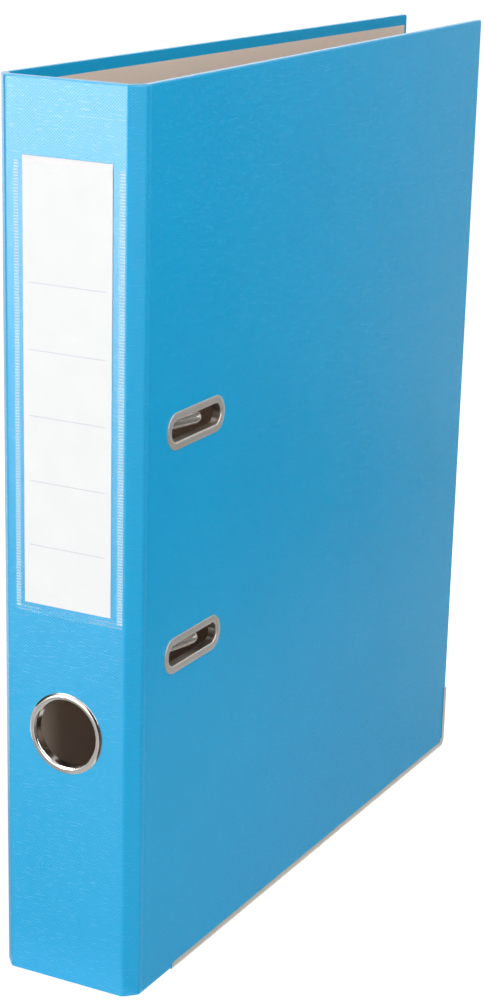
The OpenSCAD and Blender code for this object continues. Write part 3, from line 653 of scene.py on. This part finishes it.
class CaseSizes(bpy.types.PropertyGroup):
    """Sizes of the film, the folds and the metal lips."""

    board_ease: FloatProperty(
        name="Board edge", description="Radius of the film round a board's edge",
        default=0.00075, unit="LENGTH")
    fold_reach: FloatProperty(
        name="Fold reach", description="Length of a fold's own piece on each side of its axis",
        default=0.0022, unit="LENGTH")
    fold_round: FloatProperty(
        name="Fold rounding", description="Where the film starts to turn before a fold",
        default=0.0009, unit="LENGTH")
    fold_bend: FloatProperty(
        name="Fold bend", description="Half the width over which a fold gives",
        default=0.001, unit="LENGTH")
    foot_corner: FloatProperty(
        name="Foot corner", description="Radius of a cover's lower fore corner",
        default=0.004, unit="LENGTH")
    head_corner: FloatProperty(
        name="Head corner", description="Radius of a cover's upper fore corner",
        default=0.0012, unit="LENGTH")
    warp_pitch: FloatProperty(
        name="Warp pitch", description="Repeat of the embossed cloth across the film",
        default=0.00116, unit="LENGTH")
    weft_pitch: FloatProperty(
        name="Weft pitch", description="Repeat of the embossed cloth up the film",
        default=0.00105, unit="LENGTH")
    weld_pitch: FloatProperty(
        name="Weld pitch", description="Spacing of the rungs in the pocket's welds",
        default=0.001, unit="LENGTH")
    lip_rise: FloatProperty(
        name="Lip rise", description="How far a pressed lip stands off the film",
        default=0.0007, unit="LENGTH")


# What every colour property says.
COLOUR = {"subtype": "COLOR", "size": 3, "min": 0, "max": 1}


class CaseColours(bpy.types.PropertyGroup):
    """Colours of the film, paper and metal."""

    film: FloatVectorProperty(
        name="Film", description="Colour of the covering film", default=(0.0, 0.35, 0.65), **COLOUR)
    lining: FloatVectorProperty(
        name="Lining", description="Colour of the paper inside", default=(0.73, 0.61, 0.52), **COLOUR)
    board: FloatVectorProperty(
        name="Board", description="Colour of the board under the film", default=(0.34, 0.32, 0.29), **COLOUR)
    card: FloatVectorProperty(
        name="Card", description="Colour of the label card", default=(0.772, 0.757, 0.755), **COLOUR)
    nickel: FloatVectorProperty(
        name="Nickel", description="Colour of the plated parts", default=(0.68, 0.65, 0.61), **COLOUR)
    # The satin colour is painted light: it is lighter than the plated nickel's, which brightens the eyelets,
    # arches and guards; their satin finish itself is their greater roughness.
    satin: FloatVectorProperty(
        name="Satin nickel", description="Colour of the eyelets, arches and guards",
        default=(0.84, 0.79, 0.73), **COLOUR)
    steel: FloatVectorProperty(
        name="Steel", description="Colour of the pressed steel parts", default=(0.56, 0.56, 0.56), **COLOUR)
    plastic: FloatVectorProperty(
        name="Plastic", description="Colour of the grips", default=(0.012, 0.012, 0.013), **COLOUR)


class StageSettings(bpy.types.PropertyGroup):
    """The light and the camera."""

    sky: FloatProperty(
        name="Sky", description="Light from all round", default=0.24, min=0)
    key: FloatProperty(
        name="Key", description="Power of the soft lamp before the spine",
        default=9.8, min=0, unit="POWER")
    side: FloatProperty(
        name="Side", description="Power of the soft lamp beside the front cover",
        default=10.0, min=0, unit="POWER")
    top: FloatProperty(
        name="Top", description="Power of the soft lamp above the boards", default=8.2, min=0, unit="POWER")
    lens: FloatProperty(
        name="Lens", description="Focal length of the camera", default=88.9, min=1, unit="CAMERA")
    turn: FloatProperty(
        name="Turn", description="How far round the camera stands",
        default=math.radians(28.481), subtype="ANGLE")
    height: FloatProperty(
        name="Height", description="How steeply the camera looks down",
        default=math.radians(19.71), subtype="ANGLE")
    roll: FloatProperty(
        name="Roll", description="Roll of the camera", default=math.radians(1.424), subtype="ANGLE")


class PieceOperator:
    """What every operator here shares: the finishes, the sizes in mm, and the pieces across the folds."""

    bl_options = {"REGISTER", "UNDO"}
    made = {}

    def finish(self, name):
        """A finish by its slot's name, made the first time that it is asked for."""
        scene = bpy.context.scene
        sizes, colours = scene.lever_file_sizes, scene.lever_file_colours
        makers = {
            "blue_film": (film_finish, sizes, colours, 0.36, 0.38, 1.0),
            # The covers' film is a duller copy of the spine's, with less gloss and a thinner coat on its
            # crowns: shade painted into its sheen, standing for darker surroundings mirrored by the covers.
            "cover_film": (film_finish, sizes, colours, 0.26, 0.22, 0.3),
            "grey_paper": (paper_finish, colours.lining),
            "grey_board": (paper_finish, colours.board, 0.6),
            "white_card": (card_finish, colours),
            "clear_film": (clear_finish, sizes),
            "nickel": (metal_finish, colours.nickel, 0.16, 1.0, (1.0, 1.0, 0.2)),
            "satin_nickel": (metal_finish, colours.satin, 0.42, 1.0, (1.0, 1.0, 0.2)),
            "arch_nickel": (metal_finish, colours.satin, 0.22, 1.0, (1.0, 0.1, 1.0), 0.82),
            "eyelet_nickel": (eyelet_finish, colours),
            "steel": (metal_finish, colours.steel, 0.3, 1.6, (1.0, 0.06, 1.0)),
            "black_plastic": (plastic_finish, colours.plastic),
        }
        if name not in self.made:
            maker, *values = makers[name]
            self.made[name] = maker(name, *values)
        return self.made[name]

    def mm(self, name):
        """A size property in mm."""
        return getattr(bpy.context.scene.lever_file_sizes, name) / MM

    def folds(self, ending, section, slot):
        """A piece of one section across each of the four folds."""
        reach, radius = self.mm("fold_reach"), self.mm("fold_round")
        for first, second in FOLDS:
            blocks = fold_blocks(first, second, reach, radius, section)
            piece = make_piece(f"{second}_fold_{ending}", blocks, self.finish(slot))
            fold_across(piece, first, second, self.mm("fold_bend"))


class LEVERFILE_OT_case(PieceOperator, bpy.types.Operator):
    """Wraps the spine, the hinge strips and the covers in film, with a piece at each fold"""

    bl_idname = "lever_file.case"
    bl_label = "Case film"

    def execute(self, context):
        film = self.finish("blue_film")
        ease, reach = self.mm("board_ease"), self.mm("fold_reach")
        section = bar_section(FILM_FOOT, FILM_HEAD, 0.0, SKIN_T, ease, SKIN_EASE)
        half = SPINE_FOLD[0] - reach
        low, high = node_box("finger_ring")
        ring_z, ring_hole = (low[2] + high[2]) / 2, (high[0] - low[0]) / 2 - RING_LAP
        outline, way = board_outline(-half, half, FILM_FOOT, FILM_HEAD, (0, 0, 0, 0), (False, False))
        hole = np.array([0.0, ring_z]) + arc(0, 360 * 63 / 64, 64) * ring_hole
        blocks = board_blocks("spine", outline, way, [hole], SKIN_T, ease, SKIN_EASE)
        make_piece("spine_wrap", blocks, film, "spine", ["spine_film"])
        for strip in ("front_strip", "rear_strip"):
            blocks = strip_blocks(strip, reach, STRIP_W - reach, section)
            make_piece(strip + "_wrap", blocks, film, strip, [strip + "_film"])
        for cover, slots in (("front_cover", ("slot_eyelet_upper", "slot_eyelet_lower")), ("rear_cover", ())):
            radii = (0, self.mm("foot_corner"), self.mm("head_corner"), 0)
            outline, way = board_outline(reach, COVER_L, FILM_FOOT, FILM_HEAD, radii, (False, True))
            places = [slot_place(slot) for slot in slots]
            holes = [oblong(u, z, straight, half + EYELET_BACK)[0] for u, z, straight, half in places]
            blocks = board_blocks(cover, outline, way, holes, SKIN_T, ease, SKIN_EASE)
            make_piece(
                cover + "_wrap", blocks, self.finish("cover_film"), cover,
                [cover.replace("cover", "film")])
        self.folds("film", section, "blue_film")
        for board in ("spine", "front_strip", "rear_strip", "front", "rear"):
            finish_node(board + "_board", self.finish("grey_board"))
        return {"FINISHED"}


def slot_place(node):
    """An eyelet's middle on the cover, its straight sides' length and its opening's half height, in mm."""
    low, high = node_box(node)
    middle = (low + high) / 2
    along = (middle[:2] - COVER_FOLD) @ COVER_ALONG
    length = (high[1] - low[1]) / COVER_ALONG[1]
    height = high[2] - low[2]
    return along, middle[2], length - height, height / 2 - EYELET_FLANGE


class LEVERFILE_OT_linings(PieceOperator, bpy.types.Operator):
    """Papers the inside of the boards, and carries the paper across each fold"""

    bl_idname = "lever_file.linings"
    bl_label = "Paper linings"

    def execute(self, context):
        paper = self.finish("grey_paper")
        for board in ("spine", "front_strip", "rear_strip", "front", "rear"):
            finish_node(board + "_lining", paper)
        section = bar_section(LINING_FOOT, LINING_HEAD, PAPER_NEAR, PAPER_FAR, PAPER_EASE, PAPER_EASE)
        self.folds("paper", section, "grey_paper")
        return {"FINISHED"}


class LEVERFILE_OT_label(PieceOperator, bpy.types.Operator):
    """Lays a welded clear pocket over the spine's label card"""

    bl_idname = "lever_file.label"
    bl_label = "Label and pocket"

    def execute(self, context):
        finish_node("label_card", self.finish("white_card"))
        low, high = node_box("label_pocket")
        card_low, card_high = node_box("label_card")
        pitch = self.mm("weld_pitch")

        def rise(value, start, end):
            """A smooth step from 0 at start to 1 at end."""
            share = np.clip((value - start) / (end - start), 0, 1)
            return share * share * (3 - 2 * share)

        stops = (
            low[0], low[0] + 2.0, card_low[0] + 0.3, *NOTCH_LINES,
            card_high[0] - 0.3, high[0] - 2.3, high[0])
        counts = (7, 7, 4, 3, 9, 3, 5, 7, 7)
        parts = [np.linspace(a, b, count) for a, b, count in zip(stops, stops[1:], counts)]
        u = np.unique(np.concatenate(parts).round(4))
        z = np.unique(np.concatenate([
            np.linspace(low[2], low[2] + 4.5, 24), np.arange(low[2] + 4.5, high[2], pitch / 4),
            [high[2]]]).round(4))
        grid_u, grid_z = np.meshgrid(u, z, indexing="ij")
        left = rise(grid_u, low[0] + 2.0, card_low[0] + 0.1)
        inside = left * rise(grid_u, high[0] - 2.3, card_high[0] - 0.1)
        notch = rise(np.abs(grid_u - NOTCH_MIDDLE), 9.8, 9.5)
        foot = np.maximum(rise(grid_z, low[2] + 2.2, low[2] + 3.6), notch)
        welded = (grid_u < low[0] + 2.0) | (grid_u > high[0] - 2.25)
        rungs = 0.5 + 0.5 * np.cos(2 * np.pi * (grid_z / pitch - 0.21))
        bars = 0.012 * rungs * welded * (grid_z > low[2] + 2)
        first, second = (np.exp(-((grid_z - line) / 0.16) ** 2) for line in FOOT_LINES)
        lines = 0.02 * (first + second) * (1 - notch)
        across = np.clip((grid_u - low[0]) / (high[0] - low[0]), 0, 1)
        sag = 0.12 * np.sin(np.pi * across) * rise(grid_z, high[2] - 14, high[2])
        top = 0.09 + bars + lines + (0.40 + sag) * inside * foot
        make_piece(
            "label_sleeve", sheet_blocks("spine", u, z, top, np.maximum(top - 0.08, 0.01)),
            self.finish("clear_film"), "spine", ["label_pocket"], sharp=60)
        return {"FINISHED"}


def lip_section(width, rise, depth, dome, wall=0.5):
    """A pressed lip in section: a flange, flat or domed by a share of its rise, a rounded shoulder into the
    opening, and a collar through the board."""
    corners = [
        (width, 0.03), (width, -rise * (0.8 - 0.45 * dome)), (width * 0.6, -rise * (1.0 + 0.12 * dome)),
        (width * (0.14 + 0.06 * dome), -rise), (0.0, -rise * (0.55 - 0.45 * dome)), (0.0, depth),
        (wall, depth), (wall, 0.03)]
    rounds = [0.02, 0.2, 0.5, 0.3 + 0.15 * dome, 0.3 + 0.2 * dome, 0.12, 0.12, 0.2]
    return smooth_section(corners, rounds)


class LEVERFILE_OT_finger_ring(PieceOperator, bpy.types.Operator):
    """Presses the plated ring into the spine's finger hole"""

    bl_idname = "lever_file.finger_ring"
    bl_label = "Finger ring"

    def execute(self, context):
        low, high = node_box("finger_ring")
        way = arc(0, 360 * 95 / 96, 96)
        path = np.array([(low[0] + high[0]) / 2, (low[2] + high[2]) / 2]) + way * RING_BORE
        section = lip_section((high[0] - low[0]) / 2 - RING_BORE, self.mm("lip_rise"), COLLAR_T, 1.0)
        blocks = lip_blocks("spine", path, way, section)
        make_piece(
            "finger_ring_lip", blocks, self.finish("nickel"), "spine", ["finger_ring"], sharp=60)
        finish_node("finger_ring_backing", self.finish("nickel"), 0.15)
        return {"FINISHED"}


class LEVERFILE_OT_slot_eyelets(PieceOperator, bpy.types.Operator):
    """Presses the two oblong eyelets into the front cover"""

    bl_idname = "lever_file.slot_eyelets"
    bl_label = "Slot eyelets"

    def execute(self, context):
        for node in ("slot_eyelet_upper", "slot_eyelet_lower"):
            along, up, straight, half = slot_place(node)
            path, way = oblong(along, up, straight, half, 25)
            section = lip_section(EYELET_FLANGE, self.mm("lip_rise") * 0.85, COLLAR_T, 0.0)
            blocks = lip_blocks("front_cover", path, way, section)
            make_piece(
                node + "_lip", blocks, self.finish("eyelet_nickel"), "front_cover", [node],
                sharp=60)
            finish_node(node.replace("eyelet", "backing"), self.finish("eyelet_nickel"), 0.15)
        return {"FINISHED"}


class LEVERFILE_OT_arches(PieceOperator, bpy.types.Operator):
    """Bends the two plated arches that close onto the posts"""

    bl_idname = "lever_file.arches"
    bl_label = "Arches"

    def execute(self, context):
        wide = np.array(ARCH_WIDE) + arc(180, 100, 25) * ARCH_WIDE_R
        tight = np.array(ARCH_TIGHT) + arc(100, 0, 25) * ARCH_TIGHT_R
        path = np.concatenate([ARCH_LEG, wide, tight, ARCH_END])
        radius = np.full(len(path), ARCH_R)
        radius[-1] = ARCH_TIP_R
        path[:, 1] += BOARD_T
        for node in ("arch_upper", "arch_lower"):
            low, high = node_box(node)
            blocks = tube_blocks("rear_cover", path, radius, (low[2] + high[2]) / 2)
            make_piece(node + "_wire", blocks, self.finish("arch_nickel"), "rocker", [node])
        return {"FINISHED"}


class LEVERFILE_OT_mechanism(PieceOperator, bpy.types.Operator):
    """Finishes the plate, posts, rocker, lever, roller, spring and bar, with their edges eased"""

    bl_idname = "lever_file.mechanism"
    bl_label = "Arch mechanism"

    def execute(self, context):
        for node, slot, ease in (
            ("base_plate", "steel", 0.3), ("mechanism_rivets", "nickel", 0.45), ("post_upper", "nickel", 0.3),
            ("post_lower", "nickel", 0.3), ("lever_bracket", "steel", 0.25), ("lever_pin", "nickel", 0.25),
            ("return_spring", "steel", 0.1), ("rocker_bridge", "steel", 0.4), ("rocker_shaft", "nickel", 0.2),
            ("lever_arm", "nickel", 0.3), ("roller_pin", "nickel", 0.15), ("pressure_roller", "nickel", 0.25),
            ("compressor_bar", "steel", 0.3), ("compressor_grips", "black_plastic", 0.35),
        ):
            finish_node(node, self.finish(slot), ease)
        return {"FINISHED"}


class LEVERFILE_OT_edge_guards(PieceOperator, bpy.types.Operator):
    """Finishes the steel guards under the covers"""

    bl_idname = "lever_file.edge_guards"
    bl_label = "Edge guards"

    def execute(self, context):
        for node in ("front_edge_guard", "rear_edge_guard"):
            finish_node(node, self.finish("satin_nickel"), 0.12)
        return {"FINISHED"}


def low_card(height, *plan):
    """The four corners of a card that lies flat, from their places in plan."""
    return tuple((x, y, height) for x, y in plan)


def upright_card(foot, head, first, second):
    """The four corners of a card that stands upright on a line between two places in plan."""
    return (*first, foot), (*second, foot), (*second, head), (*first, head)


# The studio cards that the film and the metal mirror: corners in metres, and light level.
CARDS = (
    ("near floor card", low_card(0.0003, (0.0286, -0.138), (0.18, -0.5), (0.18, 0.9), (0.019, 0.143)), 0.48),
    ("rear floor card",
     low_card(0.0003, (-0.0292, -0.138), (-0.18, -0.5), (-0.18, 0.9), (-0.0196, 0.143)), 0.5),
    ("far floor card", low_card(0.0002, (0.03, -3.4), (1.32, 0.47), (1.32, 3.97), (0.03, 0.1)), 0.06),
    ("front floor card", low_card(0.0002, (-0.9, -1.1), (0.02, -1.1), (0.02, -0.16), (-0.9, -0.16)), 0.7),
    ("side card", upright_card(0.0, 1.8, (1.3, -1.5), (1.3, 3.0)), 0.06),
    ("side window", upright_card(0.4, 1.0, (1.29, 1.1), (1.29, 2.3)), 1.5),
    ("left card", upright_card(0.0, 1.2, (-1.5, 0.4), (-1.05, -1.05)), 0.03),
    ("right card", upright_card(0.0, 0.7, (0.05, -1.6), (1.3, -1.0)), 0.03),
    ("front card", upright_card(0.05, 0.39, (-0.54, -1.32), (-0.05, -1.45)), 6.0),
    ("top card", low_card(1.3, (-1.4, -1.9), (-0.4, -1.9), (-0.4, 0.5), (-1.4, 0.5)), 5.0),
    ("back card", upright_card(0.0, 1.3, (-1.7, 0.5), (-0.3, 1.6)), 1.8),
)


class LEVERFILE_OT_stage(PieceOperator, bpy.types.Operator):
    """Sets the camera, the soft lamps, the cards that are mirrored, the white surroundings and the floor"""

    bl_idname = "lever_file.stage"
    bl_label = "Stage"

    def execute(self, context):
        scene = bpy.context.scene
        settings = scene.lever_file_stage
        a, e, r = settings.turn, settings.height, settings.roll
        back = Vector((math.sin(a) * math.cos(e), -math.cos(a) * math.cos(e), math.sin(e)))
        right = (-back).cross(Vector((0, 0, 1))).normalized()
        up = right.cross(-back)
        across, upward = right * math.cos(r) + up * math.sin(r), up * math.cos(r) - right * math.sin(r)
        lens = bpy.data.cameras.new("camera")
        lens.lens, lens.sensor_width, lens.shift_y = settings.lens, 36.0, CAMERA_SHIFT
        lens.clip_start, lens.clip_end = 0.05, 20
        camera = add_object("camera", lens)
        turn = Matrix((across, upward, back)).transposed().to_4x4()
        camera.matrix_world = Matrix.Translation(CAMERA_PLACE) @ turn
        scene.camera = camera

        self.lamp("key lamp", (-0.69, -1.23, 0.24), (0.0, -0.14, 0.2), settings.key, 0.3, 0.34)
        self.lamp("side lamp", (1.15, -0.94, 0.7), (0.02, 0.0, 0.15), settings.side, 0.5, 0.9)
        self.lamp("top lamp", (0.75, -0.1, 1.35), (0.0, 0.0, 0.25), settings.top, 0.9, 0.9)
        for name, corners, level in CARDS:
            self.card(name, corners, level)
        self.surround(settings.sky)
        self.floor()
        scene.view_settings.view_transform = "Standard"
        return {"FINISHED"}

    def lamp(self, name, place, target, power, width, height):
        """A rectangular lamp that faces a target."""
        light = bpy.data.lights.new(name, "AREA")
        light.shape, light.energy, light.size, light.size_y = "RECTANGLE", power, width, height
        lamp = add_object(name, light)
        way = Vector(target) - Vector(place)
        lamp.matrix_world = Matrix.Translation(place) @ way.to_track_quat("-Z", "Y").to_matrix().to_4x4()
        lamp.visible_camera = False

    def card(self, name, corners, level):
        """A plain studio card that only shows in reflections: a grid between four corners, of one light."""
        share = np.linspace(0, 1, 5)
        a, b = (part[..., None] for part in np.meshgrid(share, share, indexing="ij"))
        first, second, third, fourth = np.array(corners)
        points = (1 - a) * ((1 - b) * first + b * second) + a * ((1 - b) * fourth + b * third)
        mesh = bpy.data.meshes.new(name)
        mesh.from_pydata(points.reshape(-1, 3), [], quads(5, 5).tolist())
        f = Finish(name)
        nap = f.noise(f.place(), 0.05, 2.0)
        shade = f.blend(nap, tone(WHITE[:3], 0.9), WHITE)
        glow = f.node("ShaderNodeEmission", None, {"Color": shade, "Strength": level * 1.05})
        mesh.materials.append(f.done(glow))
        card = add_object(name, mesh)
        card.visible_camera = card.visible_diffuse = card.visible_shadow = card.visible_transmission = False

    def seen(self, f):
        """1 for rays from the camera, from a mirror and through glass, which see the white surroundings."""
        path = f.node("ShaderNodeLightPath")
        mirrored = f.maths("MAXIMUM", path["Is Glossy Ray"], path["Is Transmission Ray"])
        return f.maths("MAXIMUM", path["Is Camera Ray"], mirrored)

    def surround(self, sky):
        """A world that is white to look at and lights the object with a plain sky."""
        world = bpy.data.worlds.new("surroundings")
        world.use_nodes = True
        bpy.context.scene.world = world
        f = Finish("surroundings", world.node_tree)
        shade = f.blend(self.seen(f), (sky, sky, sky, 1.0), WHITE)
        shader = f.node("ShaderNodeBackground", None, {"Color": shade})
        f.node("ShaderNodeOutputWorld", None, {"Surface": shader})

    def floor(self):
        """A flat floor on a grid, white to look at but for the object's own shadow."""
        side = np.linspace(-4, 4, 9)
        x, y = np.meshgrid(side, side, indexing="ij")
        mesh = bpy.data.meshes.new("floor")
        points = np.stack([x, y, 0 * x - 0.0001], -1).reshape(-1, 3)
        mesh.from_pydata(points, [], quads(9, 9)[:, ::-1].tolist())
        f = Finish("pale floor")
        grain = f.noise(f.place(), 0.01, 2.0)
        matt = f.surface(
            Base_Color=f.blend(grain, (0.78, 0.78, 0.78, 1.0), (0.8, 0.8, 0.8, 1.0)), Roughness=0.9,
            Specular_IOR_Level=0.1)
        # The glow is partly painted light: besides evening the floor to white, it rises from 0.75 near the
        # middle to 0.81 far off, where the lamps light the floor less.
        from_middle = f.node("ShaderNodeVectorMath", {"operation": "LENGTH"}, {0: f.place()})["Value"]
        far = f.step(from_middle, 800.0, 2400.0)
        white = f.blend(far, (0.75, 0.75, 0.75, 1.0), (0.81, 0.81, 0.81, 1.0))
        glow = f.node("ShaderNodeEmission", None, {"Color": f.blend(self.seen(f), BLACK, white)})
        mesh.materials.append(f.done(f.node("ShaderNodeAddShader", None, {0: matt, 1: glow})))
        floor = add_object("floor", mesh)


OPERATORS = (
    LEVERFILE_OT_stage, LEVERFILE_OT_case, LEVERFILE_OT_linings, LEVERFILE_OT_label, LEVERFILE_OT_finger_ring,
    LEVERFILE_OT_slot_eyelets, LEVERFILE_OT_arches, LEVERFILE_OT_mechanism, LEVERFILE_OT_edge_guards)


class LEVERFILE_PT_pieces(bpy.types.Panel):
    """Lists the pieces of the lever arch file"""

    bl_label = "Lever Arch File"
    bl_idname = "LEVERFILE_PT_pieces"
    bl_space_type = "VIEW_3D"
    bl_region_type = "UI"
    bl_category = "Lever Arch File"

    def draw(self, context):
        """A button for each operator, and a field for each setting."""
        for operator in OPERATORS:
            self.layout.operator(operator.bl_idname, text=operator.bl_label)
        for group in (
            context.scene.lever_file_sizes, context.scene.lever_file_colours, context.scene.lever_file_stage):
            column = self.layout.column()
            for name in group.__annotations__:
                column.prop(group, name)


CLASSES = (CaseSizes, CaseColours, StageSettings, *OPERATORS, LEVERFILE_PT_pieces)


def register():
    """Registers the classes, and gives the scene its settings."""
    for item in CLASSES:
        bpy.utils.register_class(item)
    bpy.types.Scene.lever_file_sizes = PointerProperty(type=CaseSizes)
    bpy.types.Scene.lever_file_colours = PointerProperty(type=CaseColours)
    bpy.types.Scene.lever_file_stage = PointerProperty(type=StageSettings)


def unregister():
    """Takes the settings and the classes away again."""
    del bpy.types.Scene.lever_file_stage, bpy.types.Scene.lever_file_colours, bpy.types.Scene.lever_file_sizes
    for item in reversed(CLASSES):
        bpy.utils.unregister_class(item)


def main():
    """Makes every piece in order."""
    register()
    for operator in OPERATORS:
        group, name = operator.bl_idname.split(".")
        getattr(getattr(bpy.ops, group), name)()


if __name__ == "__main__":
    main()
